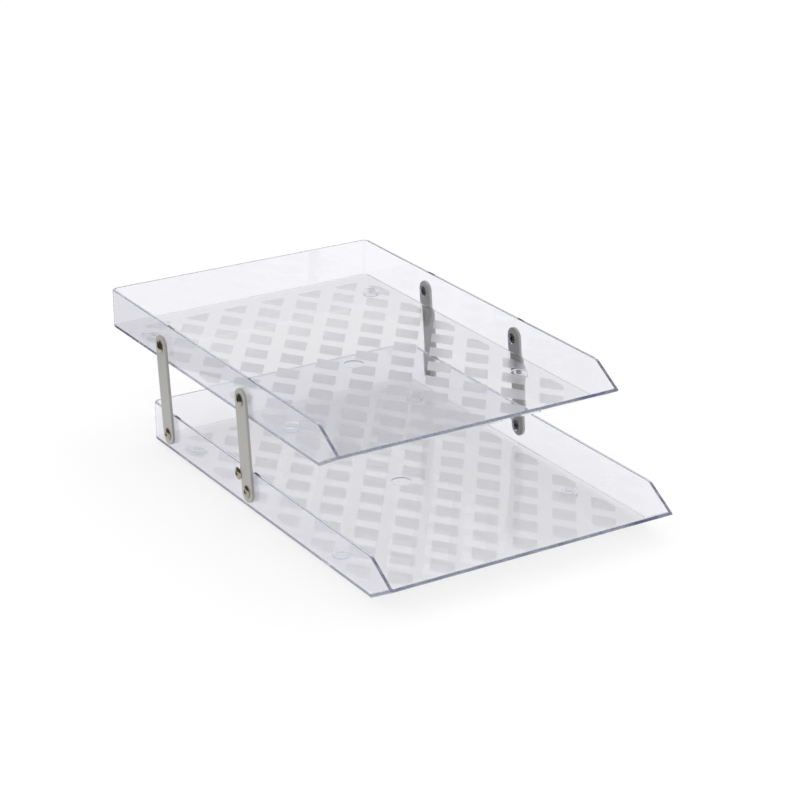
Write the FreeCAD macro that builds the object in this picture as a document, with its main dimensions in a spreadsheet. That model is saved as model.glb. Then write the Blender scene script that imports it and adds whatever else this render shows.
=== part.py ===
"""Articulated double letter tray: two clear moulded trays joined by four swinging metal arms.

The lower tray stands on its four ring feet. Flat arms swing on posts through its side walls and
carry an equal tray above it, so that walls and arms make a parallelogram and the upper tray stays
level while it swings. Standing open, as modelled here, the arms lean a little way back past
upright and the front left one rests against a stop on the lower tray.

Millimetres. X runs across the trays, Y from the open front to the back wall, Z up. The origin is
under the middle of the object, at the bottom of the lower tray's feet.
"""
import FreeCAD, Part
import Sketcher
import math
import os
import re

doc = FreeCAD.newDocument("LetterTrays")
sheet = doc.addObject("Spreadsheet::Sheet", "Sizes")

# Driving dimensions: alias, value in millimetres or degrees, what it measures.
driving = [
    ("tray_width", 254, "outside width of a tray"),
    ("tray_length", 381, "outside length of a tray, lip to back wall"),
    ("wall_height", 33.6, "height of the walls above the underside of the floor"),
    ("wall_thickness", 2.6, "side walls, back wall and front ramp"),
    ("floor_thickness", 2.0, "floor of a tray"),
    ("ramp_run", 29.1, "how far the front ramp reaches forward from the fold in the floor"),
    ("lip_height", 16.2, "height of the tip of the front lip above the underside"),
    ("shoulder_radius", 10, "rounding where the wall top turns down to the lip"),
    ("corner_radius", 6.5, "outside rounding of the two upright back corners"),
    ("underside_radius", 1.2, "rounding of the outside bottom edges"),
    ("inside_radius", 0.8, "rounding of the inside bottom edges"),
    ("rim_radius", 0.6, "rounding of the edges of the rim"),
    ("foot_radius", 7, "outside radius of a ring foot"),
    ("foot_bore_radius", 4.8, "inside radius of a ring foot"),
    ("foot_height", 3.5, "how far a foot stands below the floor"),
    ("foot_side_inset", 22, "side of a tray to the centre of a foot"),
    ("foot_back_inset", 44, "back of a tray to the centre of a rear foot"),
    ("foot_spacing", 232, "rear foot to front foot, centre to centre"),
    ("gate_radius", 8.5, "round recess over the moulding gate, in the underside"),
    ("gate_depth", 1.0, "depth of that recess"),
    ("lower_pivot_height", 15.9, "pivots above the underside of the lower tray"),
    ("upper_pivot_height", 13.7, "pivots above the underside of the upper tray"),
    ("pivot_spacing", 136.6, "rear pivot to front pivot"),
    ("lower_pivot_inset", 34.2, "back of the lower tray to its rear pivots"),
    ("upper_pivot_inset", 99.3, "back of the upper tray to its rear pivots"),
    ("arm_pitch", 75.3, "pivot to pivot along an arm"),
    ("arm_lean", 6.3, "degrees that the arms lean back at rest"),
    ("arm_width", 16.6, "width of an arm"),
    ("arm_thickness", 2.5, "thickness of an arm"),
    ("arm_end_margin", 9.1, "pivot centre to the end of an arm"),
    ("arm_edge_radius", 0.5, "rounding of an arm's edges"),
    ("arm_side_play", 0.1, "gap on each face of an arm"),
    ("screw_radius", 1.5, "shank of the M3 screws"),
    ("screw_end_chamfer", 0.3, "chamfer on the end of a shank"),
    ("thread_length", 3.2, "length of a shank under its head"),
    ("head_radius", 5.2, "low domed screw head"),
    ("head_height", 1.9, "height of the head"),
    ("head_rim_height", 0.5, "straight rim under the dome"),
    ("recess_reach", 2.1, "arm of a cross recess, from the axis of the head"),
    ("recess_width", 1.1, "width of the slots of a cross recess"),
    ("screw_recess_depth", 1.4, "depth of a screw's recess below the top of its head"),
    ("barrel_radius", 2.4, "barrel of a post, on which an arm turns"),
    ("bore_end_margin", 0.5, "end of a shank to the bottom of the bore in its post"),
    ("post_head_radius", 4.4, "low domed head of a post"),
    ("post_head_height", 1.3, "height of that head"),
    ("post_rim_height", 0.4, "straight rim under its dome"),
    ("post_recess_depth", 0.8, "depth of a post's recess below the top of its head"),
    ("pocket_clearance", 0.4, "head of a post to the side of its pocket"),
    ("pocket_depth", 1.4, "depth of the pocket in the inside of the wall"),
    ("washer_radius", 4.7, "outside radius of the washers"),
    ("washer_thickness", 0.6, "wall to arm"),
    ("sleeve_radius", 3.3, "outside radius of the stop sleeve"),
    ("hole_clearance", 0.1, "barrel to a hole that it is clamped in, at the radius"),
    ("running_clearance", 0.08, "barrel to an arm's hole, at the radius"),
    ("thread_clearance", 0.05, "screw shank to the bore of its post, at the radius"),
    ("stop_reach", 12.4, "lower pivot to the stop, measured along the arm"),
    ("stop_gap", 0.3, "stop sleeve to the edge of the resting arm"),
    ("overrun", 5, "how far a cut runs past the surface that it opens"),
]

# Places worked out from the driving dimensions.
derived = [
    ("arm_rise", "arm_pitch * cos(arm_lean)", "upper pivot above lower pivot"),
    ("arm_setback", "arm_pitch * sin(arm_lean)", "upper pivot behind lower pivot"),
    ("tray_setback", "arm_setback + upper_pivot_inset - lower_pivot_inset", "tray behind tray"),
    ("lower_rear_pivot", "(tray_length - tray_setback) / 2 - lower_pivot_inset", "Y of pivots"),
    ("lower_pivot_level", "foot_height + lower_pivot_height", "Z of the lower pivots"),
    ("tray_rise", "arm_rise + lower_pivot_height - upper_pivot_height", "tray above tray"),
    ("ramp_slant", "hypot(ramp_run; lip_height)", "length of the ramp from fold to tip"),
    ("arm_face", "tray_width / 2 + washer_thickness + arm_side_play", "X of an arm's inner face"),
    ("head_seat", "arm_face + arm_thickness + arm_side_play", "X of the underside of a head"),
    ("post_seat", "tray_width / 2 - wall_thickness + pocket_depth", "X of a post head's underside"),
    ("stop_offset", "arm_width / 2 + stop_gap + sleeve_radius", "arm's centre line to the stop"),
    ("stop_back", "stop_reach * sin(arm_lean) + stop_offset * cos(arm_lean)", "stop behind pivot"),
    ("stop_up", "stop_reach * cos(arm_lean) - stop_offset * sin(arm_lean)", "stop above pivot"),
]

aliases = [row[0] for row in driving + derived]

# Two measured places closer than this are the same place.
closeness = 0.001


def in_sheet(text):
    """The expression with every alias in it written as a cell of the sheet."""
    return re.sub(r"[a-z_]+", lambda m: "Sizes." + m[0] if m[0] in aliases else m[0], text)


for row, (alias, value, meaning) in enumerate(driving + derived, start=1):
    sheet.set(f"A{row}", alias)
    sheet.set(f"B{row}", str(value) if (alias, value, meaning) in driving else "=" + value)
    sheet.setAlias(f"B{row}", alias)
    sheet.set(f"C{row}", meaning)
doc.recompute()


def bind(thing, prop, text):
    """Tie a property to the sheet."""
    thing.setExpression(prop, in_sheet(text))


def worth(text):
    """What an expression comes to now."""
    return float(sheet.evalExpression(in_sheet(text)))


def new_body(label):
    body = doc.addObject("PartDesign::Body", label)
    body.Label = label
    return body


def new_sketch(body, name, plane, level="0"):
    """An empty sketch on one of the body's own origin planes, moved off it by level."""
    sketch = body.newObject("Sketcher::SketchObject", name)
    support = [item for item in body.Origin.OriginFeatures if item.Role == plane][0]
    sketch.AttachmentSupport = [(support, "")]
    sketch.MapMode = "FlatFace"
    bind(sketch, "AttachmentOffset.Base.z", level)
    return sketch


def constrain(sketch, text, *parts):
    """Add a constraint whose size comes from the sheet."""
    index = sketch.addConstraint(Sketcher.Constraint(*parts, worth(text)))
    bind(sketch, f"Constraints[{index}]", text)


def hold_point(sketch, geometry, end, across, up):
    """Fix one end of a line, or the centre of a circle, at a place from the sheet."""
    constrain(sketch, across, "DistanceX", -1, 1, geometry, end)
    constrain(sketch, up, "DistanceY", -1, 1, geometry, end)


def draw_lines(sketch, corners, closed=True):
    """Straight lines from corner to corner, the corners given as pairs of expressions."""
    points = [FreeCAD.Vector(worth(across), worth(up), 0) for across, up in corners]
    lines = list(zip(points, points[1:] + points[:1])) if closed else list(zip(points, points[1:]))
    for start, end in lines:
        sketch.addGeometry(Part.LineSegment(start, end))
    for index in range(len(lines) - 1):
        sketch.addConstraint(Sketcher.Constraint("Coincident", index, 2, index + 1, 1))
    for index, (across, up) in enumerate(corners[:len(lines)]):
        hold_point(sketch, index, 1, across, up)
    if closed:
        sketch.addConstraint(Sketcher.Constraint("Coincident", len(lines) - 1, 2, 0, 1))
    else:
        hold_point(sketch, len(lines) - 1, 2, *corners[-1])


def draw_circle(sketch, across, up, radius):
    centre = FreeCAD.Vector(worth(across), worth(up), 0)
    index = sketch.addGeometry(Part.Circle(centre, FreeCAD.Vector(0, 0, 1), worth(radius)))
    hold_point(sketch, index, 3, across, up)
    constrain(sketch, radius, "Radius", index)


def draw_arc(sketch, across, up, radius, start, end):
    """An arc about a centre from the sheet, between two angles in degrees."""
    centre = FreeCAD.Vector(worth(across), worth(up), 0)
    circle = Part.Circle(centre, FreeCAD.Vector(0, 0, 1), worth(radius))
    return sketch.addGeometry(Part.ArcOfCircle(circle, math.radians(start), math.radians(end)))


def extrude(body, kind, name, sketch, length, side="One side", reverse=False):
    """A pad or pocket of the sketch. It must change the body's volume."""
    before = body.Tip.Shape.Volume if body.Tip else 0
    feature = body.newObject("PartDesign::" + kind, name)
    feature.Profile = sketch
    feature.SideType = side
    feature.Reversed = reverse
    bind(feature, "Length", length)
    doc.recompute()
    if feature.Shape.isNull() or feature.Shape.Volume == before:
        raise RuntimeError(f"{body.Label}: {name} changes nothing")
    return feature


def spin(body, kind, name, sketch):
    """Turn a sketch through a whole circle about its own upright axis."""
    feature = body.newObject("PartDesign::" + kind, name)
    feature.Profile = sketch
    feature.ReferenceAxis = (sketch, ["V_Axis"])
    feature.Angle = 360
    doc.recompute()
    return feature


def round_edges(body, name, radius, wanted):
    """Round the edges of the body so far that the test picks out."""
    base = body.Tip
    names = [f"Edge{i}" for i, edge in enumerate(base.Shape.Edges, start=1) if wanted(edge)]
    feature = body.newObject("PartDesign::Fillet", name)
    feature.Base = (base, names)
    bind(feature, "Radius", radius)
    doc.recompute()
    return feature


def near(value, text):
    """Whether a measured place is the place that an expression gives."""
    return abs(value - worth(text)) < closeness


def lies_at(edge, axis, text):
    """Whether the whole edge lies at one place along an axis."""
    box = edge.BoundBox
    return near(getattr(box, axis + "Min"), text) and near(getattr(box, axis + "Max"), text)


def lies_on_side(edge, text):
    """Whether the whole edge lies that far to the left or that far to the right."""
    return lies_at(edge, "X", text) or lies_at(edge, "X", f"-({text})")


# Trays
#
# One moulding, used twice: a side view with the front ramp is drawn out to the full width, its
# outside edges are rounded, and the inside is taken out, which leaves walls, floor and ramp.
# Only the drilled holes differ. A tray's own origin is in the middle of its underside.

fold = "-tray_length / 2 + ramp_run"
inner_side = "tray_width / 2 - wall_thickness"
inner_back = "tray_length / 2 - wall_thickness"


def ramp_inside(height):
    """How far along Y the inner surface of the ramp is at a height."""
    return f"{fold} + (wall_thickness * ramp_slant - ramp_run * ({height})) / lip_height"


def add_rim_rounding(body):
    """Round both edges of the rim, along the wall tops, down the slopes and across the lip."""
    rim = []
    for face in body.Tip.Shape.Faces:
        box = face.BoundBox
        level = near(box.ZMin, "wall_height") and near(box.ZMax, "wall_height")
        slope = near(box.ZMin, "lip_height") and near(box.YMin, "-tray_length / 2")
        curved = isinstance(face.Surface, Part.Cylinder) and near(face.Surface.Radius, "shoulder_radius")
        if level or slope or (curved and near(box.ZMax, "wall_height")):
            rim.append(face)
    edges = [edge for face in rim for edge in face.Edges]
    border = [edge for edge in edges if sum(edge.isSame(other) for other in edges) == 1]
    round_edges(body, "RimRounding", "rim_radius",
                lambda edge: any(edge.isSame(other) for other in border))


def drill(body, name, across, up, radius, depth, level="0", side="Symmetric"):
    """Sink round holes across the walls, each at its own place along the tray."""
    sketch = new_sketch(body, name, "YZ_Plane", level)
    for place in across:
        draw_circle(sketch, place, up, radius)
    extrude(body, "Pocket", name + "Cut", sketch, depth, side, reverse=side == "One side")


def make_tray(label, pivot_inset, pivot_height, along, level, with_stop):
    body = new_body(label)

    outside = new_sketch(body, "Outside", "YZ_Plane")
    draw_lines(outside, [
        ("tray_length / 2", "0"),
        ("tray_length / 2", "wall_height"),
        (fold, "wall_height"),
        ("-tray_length / 2", "lip_height"),
        (fold, "0"),
    ])
    extrude(body, "Pad", "Block", outside, "tray_width", "Symmetric")
    round_edges(body, "Shoulders", "shoulder_radius",
                lambda edge: lies_at(edge, "Y", fold) and lies_at(edge, "Z", "wall_height"))

    inside = new_sketch(body, "Inside", "YZ_Plane")
    draw_lines(inside, [
        (inner_back, "floor_thickness"),
        (inner_back, "wall_height + overrun"),
        (ramp_inside("wall_height + overrun"), "wall_height + overrun"),
        (ramp_inside("floor_thickness"), "floor_thickness"),
    ])
    extrude(body, "Pocket", "Hollow", inside, "tray_width - 2 * wall_thickness", "Symmetric")
    round_edges(body, "InsideBackCorners", "corner_radius - wall_thickness",
                lambda edge: lies_at(edge, "Y", inner_back) and lies_on_side(edge, inner_side))
    round_edges(body, "InsideRounding", "inside_radius",
                lambda edge: lies_at(edge, "Z", "floor_thickness") or (
                    lies_on_side(edge, inner_side)
                    and near(edge.BoundBox.ZMin, "floor_thickness")
                    and edge.BoundBox.YMax < worth(fold) + worth("wall_thickness")))
    round_edges(body, "BackCorners", "corner_radius",
                lambda edge: lies_at(edge, "Y", "tray_length / 2")
                and lies_on_side(edge, "tray_width / 2"))
    round_edges(body, "UndersideRounding", "underside_radius",
                lambda edge: lies_at(edge, "Z", "0") or (
                    lies_on_side(edge, "tray_width / 2")
                    and near(edge.BoundBox.ZMin, "0") and near(edge.BoundBox.ZMax, "lip_height")))
    add_rim_rounding(body)

    feet = new_sketch(body, "Feet", "XY_Plane")
    for side in ("-", ""):
        for place in ("tray_length / 2 - foot_back_inset",
                      "tray_length / 2 - foot_back_inset - foot_spacing"):
            across = f"{side}(tray_width / 2 - foot_side_inset)"
            draw_circle(feet, across, place, "foot_radius")
            draw_circle(feet, across, place, "foot_bore_radius")
    extrude(body, "Pad", "RingFeet", feet, "foot_height", reverse=True)

    gate = new_sketch(body, "Gate", "XY_Plane")
    draw_circle(gate, "0", "0", "gate_radius")
    extrude(body, "Pocket", "GateRecess", gate, "gate_depth", reverse=True)

    rear = f"tray_length / 2 - {pivot_inset}"
    pivots = [rear, f"{rear} - pivot_spacing"]
    hole, pocket = "barrel_radius + hole_clearance", "post_head_radius + pocket_clearance"
    drill(body, "Pivots", pivots, pivot_height, hole, "tray_width + overrun")
    drill(body, "Pockets", pivots, pivot_height, pocket, "2 * post_seat")
    if with_stop:
        place, up = [f"{rear} - pivot_spacing + stop_back"], f"{pivot_height} + stop_up"
        drill(body, "Stop", place, up, hole, "wall_thickness + 2 * overrun",
              "-(tray_width / 2 + overrun)", "One side")
        drill(body, "StopPocket", place, up, pocket, "pocket_depth + overrun",
              "-post_seat", "One side")

    bind(body, "Placement.Base.y", along)
    bind(body, "Placement.Base.z", level)


make_tray("lower_tray", "lower_pivot_inset", "lower_pivot_height", "-tray_setback / 2",
          "foot_height", with_stop=True)
make_tray("upper_tray", "upper_pivot_inset", "upper_pivot_height", "tray_setback / 2",
          "foot_height + tray_rise", with_stop=False)


# Arms
#
# Flat steel strips with round ends and a hole at each pivot. An arm's own origin is at its lower
# pivot, in the middle of its thickness.


def make_arm(label, side, along):
    body = new_body(label)
    shape = new_sketch(body, "Strip", "YZ_Plane")
    low, high = "arm_width / 2 - arm_end_margin", "arm_pitch + arm_end_margin - arm_width / 2"
    top = draw_arc(shape, "0", high, "arm_width / 2", 0, 180)
    bottom = draw_arc(shape, "0", low, "arm_width / 2", 180, 360)
    edges = []
    for edge_side, start, end in (("-", high, low), ("", low, high)):
        across = worth(edge_side + "arm_width / 2")
        ends = [FreeCAD.Vector(across, worth(up), 0) for up in (start, end)]
        edges.append(shape.addGeometry(Part.LineSegment(*ends)))
    left, right = edges
    for first, first_end, second, second_end in (
            (top, 2, left, 1), (left, 2, bottom, 1), (bottom, 2, right, 1), (right, 2, top, 1)):
        shape.addConstraint(
            Sketcher.Constraint("Tangent", first, first_end, second, second_end))
    for arc, centre in ((top, high), (bottom, low)):
        hold_point(shape, arc, 3, "0", centre)
        constrain(shape, "arm_width / 2", "Radius", arc)
    for up in ("0", "arm_pitch"):
        draw_circle(shape, "0", up, "barrel_radius + running_clearance")
    extrude(body, "Pad", "Plate", shape, "arm_thickness", "Symmetric")
    round_edges(body, "EdgeRounding", "arm_edge_radius",
                lambda edge: len(edge.Vertexes) > 1 and edge.BoundBox.XLength < closeness)

    body.Placement.Rotation = FreeCAD.Rotation(FreeCAD.Vector(1, 0, 0), -worth("arm_lean"))
    bind(body, "Placement.Rotation.Angle", "-arm_lean")
    bind(body, "Placement.Base.x", f"{side}(arm_face + arm_thickness / 2)")
    bind(body, "Placement.Base.y", along)
    bind(body, "Placement.Base.z", "lower_pivot_level")


# Screws, posts, washers and the stop sleeve
#
# A post goes through a wall from the inside, where its head sits in a pocket, and its barrel is
# what an arm turns on. A screw goes into the barrel from outside and keeps the arm on. Each piece
# is made along its own Z and turned to lie across the trays. A screw's and a post's origin is
# under the head, a washer's on the face that meets the wall.


def lay_across(body, side, inward, across, along, level):
    """Turn a body's Z outward, or inward for a post, and put its origin in place."""
    outward = 90 if side == "" else -90
    turn = -outward if inward else outward
    body.Placement.Rotation = FreeCAD.Rotation(FreeCAD.Vector(0, 1, 0), turn)
    bind(body, "Placement.Base.x", f"{side}({across})")
    bind(body, "Placement.Base.y", along)
    bind(body, "Placement.Base.z", level)


def turn_headed(body, stem, radius, height, rim, recess_depth):
    """A low domed head with a cross recess on a turned stem, which is drawn from the axis out."""
    profile = new_sketch(body, "Profile", "XZ_Plane")
    corners = [("0", height)] + stem + [(radius, "0"), (radius, rim)]
    draw_lines(profile, corners, closed=False)
    rise = f"({height} - {rim})"
    dome_radius = f"(({radius} ^ 2 + {rise} ^ 2) / (2 * {rise}))"
    start = math.degrees(math.asin(1 - worth(rise) / worth(dome_radius)))
    dome = draw_arc(profile, "0", f"{height} - {dome_radius}", dome_radius, start, 90)
    profile.addConstraint(Sketcher.Constraint("Coincident", len(corners) - 2, 2, dome, 1))
    profile.addConstraint(Sketcher.Constraint("Coincident", dome, 2, 0, 1))
    profile.addConstraint(Sketcher.Constraint("PointOnObject", dome, 3, -2))
    spin(body, "Revolution", "Blank", profile)

    reach, slot = "recess_reach", "recess_width / 2"
    recess = new_sketch(body, "Cross", "XY_Plane", height)
    draw_lines(recess, [
        (slot, slot), (slot, reach), (f"-{slot}", reach), (f"-{slot}", slot),
        (f"-{reach}", slot), (f"-{reach}", f"-{slot}"), (f"-{slot}", f"-{slot}"),
        (f"-{slot}", f"-{reach}"), (slot, f"-{reach}"), (slot, f"-{slot}"),
        (reach, f"-{slot}"), (reach, slot),
    ])
    extrude(body, "Pocket", "Recess", recess, recess_depth)


def make_screw(label, side, along, level):
    body = new_body(label)
    stem = [
        ("0", "-thread_length"),
        ("screw_radius - screw_end_chamfer", "-thread_length"),
        ("screw_radius", "-thread_length + screw_end_chamfer"),
        ("screw_radius", "0"),
    ]
    turn_headed(body, stem, "head_radius", "head_height", "head_rim_height", "screw_recess_depth")
    lay_across(body, side, False, "head_seat", along, level)


def make_post(label, side, along, level):
    body = new_body(label)
    end = "-(head_seat - post_seat)"
    bore_radius, bore_bottom = "screw_radius + thread_clearance", "thread_length + bore_end_margin"
    stem = [
        ("0", f"{end} + {bore_bottom}"),
        (bore_radius, f"{end} + {bore_bottom}"),
        (bore_radius, end),
        ("barrel_radius", end),
        ("barrel_radius", "0"),
    ]
    turn_headed(body, stem, "post_head_radius", "post_head_height", "post_rim_height",
                "post_recess_depth")
    lay_across(body, side, True, "post_seat", along, level)


def make_ring(label, side, radius, length, along, level):
    body = new_body(label)
    ring = new_sketch(body, "Ring", "XY_Plane")
    draw_circle(ring, "0", "0", radius)
    draw_circle(ring, "0", "0", "barrel_radius + hole_clearance")
    extrude(body, "Pad", "Ring", ring, length)
    lay_across(body, side, False, "tray_width / 2", along, level)


def make_fastening(name, side, ring, radius, length, along, level):
    """A post and its screw through a wall, with a washer or sleeve on the outside of the wall."""
    make_screw(name + "_screw", side, along, level)
    make_post(name + "_post", side, along, level)
    make_ring(f"{name}_{ring}", side, radius, length, along, level)


for end, step in (("rear", "0"), ("front", "pivot_spacing")):
    low_along = f"lower_rear_pivot - {step}"
    high_along = f"lower_rear_pivot - {step} + arm_setback"
    for side_name, side in (("left", "-"), ("right", "")):
        make_arm(f"{end}_{side_name}_arm", side, low_along)
        make_fastening(f"{end}_{side_name}_lower", side, "washer", "washer_radius",
                       "washer_thickness", low_along, "lower_pivot_level")
        make_fastening(f"{end}_{side_name}_upper", side, "washer", "washer_radius",
                       "washer_thickness", high_along, "lower_pivot_level + arm_rise")

make_fastening("stop", "-", "sleeve", "sleeve_radius", "head_seat - tray_width / 2",
               "lower_rear_pivot - pivot_spacing + stop_back", "lower_pivot_level + stop_up")


# Check and write

doc.recompute()
for item in doc.Objects:
    if "Invalid" in item.State or "Error" in item.State:
        raise RuntimeError(f"{item.Label} failed: {item.State}")

os.makedirs("parts", exist_ok=True)
bodies = [item for item in doc.Objects if item.TypeId == "PartDesign::Body"]
for body in bodies:
    shape = body.Shape
    if shape.isNull() or not shape.isValid() or len(shape.Solids) != 1:
        raise RuntimeError(f"{body.Label} isn't one sound solid")
    shape.exportStep(f"parts/{body.Label}.step")
print(len(bodies), "parts,", round(sum(body.Shape.Volume for body in bodies) / 1000, 1), "cm3")
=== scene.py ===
import bpy
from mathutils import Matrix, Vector


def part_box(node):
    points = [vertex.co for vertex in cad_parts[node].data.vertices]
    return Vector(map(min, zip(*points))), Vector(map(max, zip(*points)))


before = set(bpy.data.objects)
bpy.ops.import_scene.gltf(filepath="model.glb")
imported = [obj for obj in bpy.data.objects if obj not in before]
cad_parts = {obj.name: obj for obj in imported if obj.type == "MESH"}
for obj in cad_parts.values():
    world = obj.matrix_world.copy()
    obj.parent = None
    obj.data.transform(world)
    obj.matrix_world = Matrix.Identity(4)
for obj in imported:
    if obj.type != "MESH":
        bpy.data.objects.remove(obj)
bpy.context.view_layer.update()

mm = 0.001

# The two letter trays
# Each tray is one injection moulding in clear polystyrene, shot through a gate in the middle of
# its floor. The mould is polished, but for a lattice of etched diamonds that leaves the underside
# of the floor frosted.
diamond_pitch_across = 37.2 * mm
diamond_pitch_along = 52.8 * mm
diamond_half_share = 0.315
diamond_edge_share = 0.012
first_diamond_from_back = 47.8 * mm
lattice_half_width = 117.5 * mm
lattice_back_margin = 19 * mm
lattice_front_margin = 32 * mm
foot_height = 3.5 * mm
underside_tolerance = 0.3 * mm
polish_wave = 22 * mm
polish_wave_depth = 0.05 * mm
smoothest_polish = 0.015
dullest_polish = 0.045
# A real etch is about a tenth of this, too fine to show.
etched_grain = 1.2 * mm
etched_grain_depth = 0.05 * mm
etched_roughness = 0.35
polystyrene_ior = 1.59
absorption_per_metre = 3.6
turns_inside_a_wall = 64


def linear(colour):
    """An sRGB hex colour as the linear one that a shader works in."""
    shares = [int(colour[i:i + 2], 16) / 255 for i in (1, 3, 5)]
    return [s / 12.92 if s <= 0.04045 else ((s + 0.055) / 1.055) ** 2.4 for s in shares] + [1]


def add_node(tree, kind, inputs, **settings):
    """A node with its settings, each input given a value or the output that feeds it."""
    node = tree.nodes.new("ShaderNode" + kind)
    for name, value in settings.items():
        setattr(node, name, value)
    for name, value in inputs.items():
        if isinstance(value, bpy.types.NodeSocket):
            tree.links.new(value, node.inputs[name])
        else:
            node.inputs[name].default_value = value
    return node


def new_material(name):
    """A node material with no nodes yet, and its tree."""
    material = bpy.data.materials.new(name)
    material.use_nodes = True
    material.node_tree.nodes.clear()
    return material, material.node_tree


def finish_with(material, piece):
    """The CAD node keeps its shape and gets this finish."""
    for slot in piece.material_slots:
        slot.material = material


def clear_polystyrene(tray):
    """Crystal polystyrene off a polished mould: water clear, a little blue through a long path,
    with a faint waviness in its reflections, and dull where the mould was etched."""
    low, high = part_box(tray)
    underside = low.z + foot_height
    back = high.y - lattice_back_margin
    front = low.y + lattice_front_margin
    material, tree = new_material("clear_polystyrene_" + tray)
    place = add_node(tree, "TexCoord", {}).outputs["Object"]
    axes = add_node(tree, "SeparateXYZ", {"Vector": place})
    across = add_node(tree, "Math", {0: axes.outputs["X"], 1: diamond_pitch_across},
                      operation="DIVIDE")
    from_first = add_node(tree, "Math", {0: high.y - first_diamond_from_back,
                                         1: axes.outputs["Y"]}, operation="SUBTRACT")
    along = add_node(tree, "Math", {0: from_first.outputs[0], 1: diamond_pitch_along},
                     operation="DIVIDE")
    rising = add_node(tree, "Math", {0: across.outputs[0], 1: along.outputs[0]}, operation="ADD")
    falling = add_node(tree, "Math", {0: across.outputs[0], 1: along.outputs[0]},
                       operation="SUBTRACT")
    to_rising = add_node(tree, "Math", {0: rising.outputs[0], 1: 0.5}, operation="PINGPONG")
    to_falling = add_node(tree, "Math", {0: falling.outputs[0], 1: 0.5}, operation="PINGPONG")
    from_centre = add_node(tree, "Math", {0: to_rising.outputs[0], 1: to_falling.outputs[0]},
                           operation="MAXIMUM")
    diamond = add_node(tree, "MapRange", {
        "Value": from_centre.outputs[0],
        "From Min": diamond_half_share + diamond_edge_share,
        "From Max": diamond_half_share - diamond_edge_share})

    off_middle = add_node(tree, "Math", {0: axes.outputs["X"]}, operation="ABSOLUTE")
    in_width = add_node(tree, "Math", {0: off_middle.outputs[0], 1: lattice_half_width},
                        operation="LESS_THAN")
    in_length = add_node(tree, "Math", {
        0: axes.outputs["Y"], 1: (back + front) / 2, 2: (back - front) / 2}, operation="COMPARE")
    in_level = add_node(tree, "Math", {0: axes.outputs["Z"], 1: underside, 2: underside_tolerance},
                        operation="COMPARE")
    frosted = diamond
    for limit in (in_width, in_length, in_level):
        frosted = add_node(tree, "Math", {0: frosted.outputs[0], 1: limit.outputs[0]},
                           operation="MULTIPLY")

    haze = add_node(tree, "TexNoise", {"Vector": place, "Scale": 1 / polish_wave, "Detail": 3.0})
    polish = add_node(tree, "MapRange", {"Value": haze.outputs["Fac"], "To Min": smoothest_polish,
                                         "To Max": dullest_polish})
    rough = add_node(tree, "Mix", {0: frosted.outputs[0], 2: polish.outputs[0],
                                   3: etched_roughness})
    grain = add_node(tree, "TexNoise", {"Vector": place, "Scale": 1 / etched_grain, "Detail": 2.0})
    grain_height = add_node(tree, "Math", {0: grain.outputs["Fac"], 1: frosted.outputs[0]},
                            operation="MULTIPLY")
    waves = add_node(tree, "Bump", {"Height": haze.outputs["Fac"], "Strength": 0.25,
                                    "Distance": polish_wave_depth})
    surface = add_node(tree, "Bump", {"Height": grain_height.outputs[0], "Strength": 0.3,
                                      "Distance": etched_grain_depth,
                                      "Normal": waves.outputs[0]})
    shader = add_node(tree, "BsdfPrincipled", {
        "Base Color": linear("#F7F7FA"), "Roughness": rough.outputs[0], "IOR": polystyrene_ior,
        "Transmission Weight": 1.0, "Normal": surface.outputs[0]})
    depth = add_node(tree, "VolumeAbsorption", {"Color": linear("#7A7ED4"),
                                                "Density": absorption_per_metre})
    add_node(tree, "OutputMaterial", {"Surface": shader.outputs[0], "Volume": depth.outputs[0]})
    return material


for tray in ("lower_tray", "upper_tray"):
    finish_with(clear_polystyrene(tray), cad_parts[tray])

# Light that runs along inside a wall is turned back many times before it leaves at the rim.
light_paths = bpy.context.scene.cycles
light_paths.max_bounces = turns_inside_a_wall
light_paths.glossy_bounces = turns_inside_a_wall
light_paths.transmission_bounces = turns_inside_a_wall

# The four swinging arms
# Strips punched from mild steel sheet with round ends and two holes, tumbled to break the edges,
# and stoved in a warm light grey powder coat.
coat_ripple = 1.4 * mm
coat_ripple_depth = 0.05 * mm
smoothest_coat = 0.38
dullest_coat = 0.5


def powder_coated_steel():
    """Powder coat: an even satin grey with the fine ripple that the powder leaves as it flows."""
    material, tree = new_material("powder_coated_steel")
    place = add_node(tree, "TexCoord", {}).outputs["Object"]
    ripple = add_node(tree, "TexNoise", {"Vector": place, "Scale": 1 / coat_ripple, "Detail": 3.0})
    tone = add_node(tree, "Mix", {0: ripple.outputs["Fac"], 6: linear("#A9A8A4"),
                                  7: linear("#B9B8B4")}, data_type="RGBA")
    rough = add_node(tree, "MapRange", {"Value": ripple.outputs["Fac"], "To Min": smoothest_coat,
                                        "To Max": dullest_coat})
    surface = add_node(tree, "Bump", {"Height": ripple.outputs["Fac"], "Strength": 0.2,
                                      "Distance": coat_ripple_depth})
    shader = add_node(tree, "BsdfPrincipled", {
        "Base Color": tone.outputs[2], "Roughness": rough.outputs[0],
        "Normal": surface.outputs[0]})
    add_node(tree, "OutputMaterial", {"Surface": shader.outputs[0]})
    return material


coat = powder_coated_steel()
ends = ("rear", "front")
sides = ("left", "right")
for end in ends:
    for side in sides:
        finish_with(coat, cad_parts[f"{end}_{side}_arm"])

# The screws and the posts that they go into
# Pan head M3 screws with a cross recess, cold headed in steel and plated bright, and turned posts
# with the same kind of head and the same nickel, coloured darker as painted shade, which sit in
# pockets inside the walls. The arms turn on the barrels of the posts.
# Tumbling marks are finer than this in reality, too fine to show.
tumbling_mark = 0.8 * mm
tumbling_mark_depth = 0.02 * mm
smoothest_plate = 0.12
dullest_plate = 0.28


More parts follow.
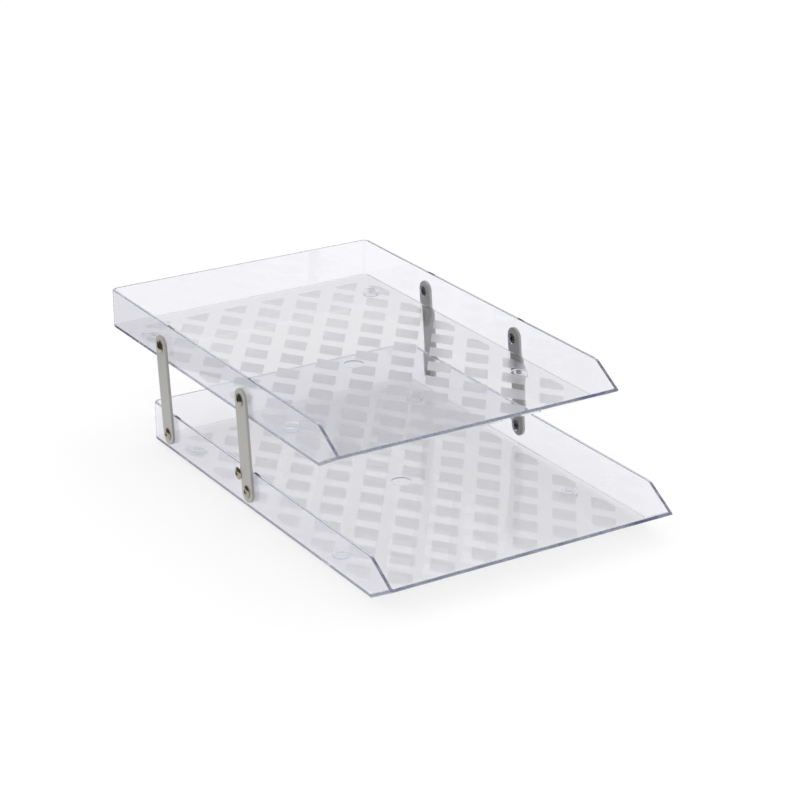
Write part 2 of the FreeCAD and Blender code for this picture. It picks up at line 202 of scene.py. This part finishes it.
def nickel_plate(name, dark, light):
    """Nickel: a warm metal mirror, between two tones, with the fine marks of tumbling."""
    material, tree = new_material(name)
    place = add_node(tree, "TexCoord", {}).outputs["Object"]
    marks = add_node(tree, "TexNoise", {"Vector": place, "Scale": 1 / tumbling_mark,
                                        "Detail": 4.0})
    rough = add_node(tree, "MapRange", {"Value": marks.outputs["Fac"], "To Min": smoothest_plate,
                                        "To Max": dullest_plate})
    tone = add_node(tree, "Mix", {0: marks.outputs["Fac"], 6: linear(dark), 7: linear(light)},
                    data_type="RGBA")
    surface = add_node(tree, "Bump", {"Height": marks.outputs["Fac"], "Strength": 0.15,
                                      "Distance": tumbling_mark_depth})
    shader = add_node(tree, "BsdfPrincipled", {
        "Base Color": tone.outputs[2], "Metallic": 1.0, "Roughness": rough.outputs[0],
        "Normal": surface.outputs[0]})
    add_node(tree, "OutputMaterial", {"Surface": shader.outputs[0]})
    return material


bright_nickel = nickel_plate("bright_nickel", "#9C9486", "#B3AB9D")
# Painted shade: the posts get the same nickel in darker tones, standing in for the shade in their
# pockets.
shade_darkened_nickel = nickel_plate("shade_darkened_nickel", "#47443F", "#57534D")
levels = ("lower", "upper")
pivots = [f"{end}_{side}_{level}" for end in ends for side in sides for level in levels]
for pivot in pivots + ["stop"]:
    finish_with(bright_nickel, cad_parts[pivot + "_screw"])
    finish_with(shade_darkened_nickel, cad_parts[pivot + "_post"])

# The washers and the stop sleeve
# Cut from natural nylon. A washer keeps each arm off the polished wall, and the sleeve on the stop
# post is what the front left arm rests against.
nylon_cloud = 1.5 * mm
nylon_roughness = 0.45
nylon_ior = 1.53
nylon_scatter_depth = 1.0 * mm


def natural_nylon():
    """Natural nylon: milky and waxy, with light scattered under the skin."""
    material, tree = new_material("natural_nylon")
    place = add_node(tree, "TexCoord", {}).outputs["Object"]
    cloud = add_node(tree, "TexNoise", {"Vector": place, "Scale": 1 / nylon_cloud, "Detail": 2.0})
    tone = add_node(tree, "Mix", {0: cloud.outputs["Fac"], 6: linear("#DDDAD0"),
                                  7: linear("#E8E6DE")}, data_type="RGBA")
    shader = add_node(tree, "BsdfPrincipled", {
        "Base Color": tone.outputs[2], "Roughness": nylon_roughness, "IOR": nylon_ior,
        "Subsurface Weight": 0.4, "Subsurface Scale": nylon_scatter_depth})
    add_node(tree, "OutputMaterial", {"Surface": shader.outputs[0]})
    return material


nylon = natural_nylon()
for pivot in pivots:
    finish_with(nylon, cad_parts[pivot + "_washer"])
finish_with(nylon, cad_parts["stop_sleeve"])

# The floor and the light
# A studio floor and walls that are white to the eye, with the object's shadow kept. Polished
# surfaces mirror a dimmer ceiling, and a dark card beyond the left edge of the picture that is
# seen in reflections only. A soft box behind on the right gives the light a direction.
floor_half_size = 12.0
floor_gap = 0.1 * mm
seen_floor_glow = 0.73
unseen_floor_glow = 0.62
card_far_inner = (0.72, 2.5)
card_far_outer = (-1.5, 2.5)
card_near_outer = (-2.5, -0.33)
card_near_inner = (-0.488, -0.33)
card_height = 1.5
wall_strength = 1.0
ceiling_strength = 0.5
ceiling_begins = 0.05
ceiling_all = 0.3
world_light = 0.9
softbox_size = 1.6
softbox_power = 12.0
softbox_place = Vector((1.3, 1.1, 1.9))


def seen_share(tree):
    """1 for light that reaches the eye directly, through the plastic or off a polished surface,
    and 0 for what lights other things."""
    path = add_node(tree, "LightPath", {})
    straight = add_node(tree, "Math", {0: path.outputs["Is Camera Ray"],
                                       1: path.outputs["Is Glossy Ray"]}, operation="MAXIMUM")
    direct = add_node(tree, "Math", {0: straight.outputs[0],
                                     1: path.outputs["Is Transmission Ray"]}, operation="MAXIMUM")
    unscattered = add_node(tree, "Math", {0: path.outputs["Diffuse Depth"], 1: 0.5},
                           operation="LESS_THAN")
    return add_node(tree, "Math", {0: direct.outputs[0], 1: unscattered.outputs[0]},
                    operation="MULTIPLY").outputs[0]


floor_mesh = bpy.data.meshes.new("floor")
corners = [(x * floor_half_size, y * floor_half_size, -floor_gap)
           for x, y in ((-1, -1), (1, -1), (1, 1), (-1, 1))]
floor_mesh.from_pydata(corners, [], [(0, 1, 2, 3)])
floor = bpy.data.objects.new("floor", floor_mesh)
bpy.context.scene.collection.objects.link(floor)

# Painted board: matt, so it takes the shadow evenly, and it glows to make up the white.
sweep, tree = new_material("white_sweep")
paint = add_node(tree, "BsdfDiffuse", {"Color": linear("#929292")})
glow_level = add_node(tree, "MapRange", {"Value": seen_share(tree), "To Min": unseen_floor_glow,
                                         "To Max": seen_floor_glow})
glow = add_node(tree, "Emission", {"Color": linear("#FFFFFF"), "Strength": glow_level.outputs[0]})
both = add_node(tree, "AddShader", {0: paint.outputs[0], 1: glow.outputs[0]})
add_node(tree, "OutputMaterial", {"Surface": both.outputs[0]})
floor_mesh.materials.append(sweep)

card_mesh = bpy.data.meshes.new("black_card")
card_mesh.from_pydata([(*card_far_inner, 0.0), (*card_far_outer, 0.0), (*card_near_outer, 0.0),
                       (*card_near_inner, 0.0), (*card_far_outer, card_height),
                       (*card_near_outer, card_height)], [], [(0, 1, 2, 3), (1, 4, 5, 2)])
card = bpy.data.objects.new("black_card", card_mesh)
card.visible_camera = False
card.visible_diffuse = False
card.visible_transmission = False
card.visible_shadow = False
bpy.context.scene.collection.objects.link(card)

# Felt: dark grey and quite matt, so that the polished parts mirror it as one even tone.
card_finish, tree = new_material("black_card")
felt = add_node(tree, "BsdfDiffuse", {"Color": linear("#505050")})
add_node(tree, "OutputMaterial", {"Surface": felt.outputs[0]})
card_mesh.materials.append(card_finish)

world = bpy.data.worlds.new("studio")
world.use_nodes = True
tree = world.node_tree
tree.nodes.clear()
heading = add_node(tree, "TexCoord", {}).outputs["Generated"]
height = add_node(tree, "SeparateXYZ", {"Vector": heading}).outputs["Z"]
mirrored = add_node(tree, "MapRange", {"Value": height, "From Min": ceiling_begins,
                                       "From Max": ceiling_all, "To Min": wall_strength,
                                       "To Max": ceiling_strength},
                    interpolation_type="SMOOTHSTEP")
strength = add_node(tree, "MapRange", {"Value": seen_share(tree), "To Min": world_light,
                                       "To Max": mirrored.outputs[0]})
sky = add_node(tree, "Background", {"Color": linear("#FFFFFF"), "Strength": strength.outputs[0]})
add_node(tree, "OutputWorld", {"Surface": sky.outputs[0]})
bpy.context.scene.world = world

softbox = bpy.data.lights.new("softbox", "AREA")
softbox.shape = "SQUARE"
softbox.size = softbox_size
softbox.energy = softbox_power
softbox_holder = bpy.data.objects.new("softbox", softbox)
softbox_holder.location = softbox_place
softbox_holder.rotation_euler = (-softbox_place).to_track_quat("-Z", "Y").to_euler()
bpy.context.scene.collection.objects.link(softbox_holder)

# The camera
# It stands above the object, in front and to the left, with a long lens. Its place, aim and lens
# were fitted to the edges of the trays and the arms.
camera_place = Vector((-0.93238, -1.53333, 0.79356))
camera_target = Vector((0.02716, 0.00908, 0.05417))
lens_length = 107.9
sensor_width = 36.0
camera = bpy.data.cameras.new("camera")
camera.lens = lens_length
camera.sensor_width = sensor_width
camera_holder = bpy.data.objects.new("camera", camera)
camera_holder.location = camera_place
camera_holder.rotation_euler = (camera_target - camera_place).to_track_quat("-Z", "Y").to_euler()
bpy.context.scene.collection.objects.link(camera_holder)
bpy.context.scene.camera = camera_holder
bpy.context.scene.view_settings.view_transform = "Standard"
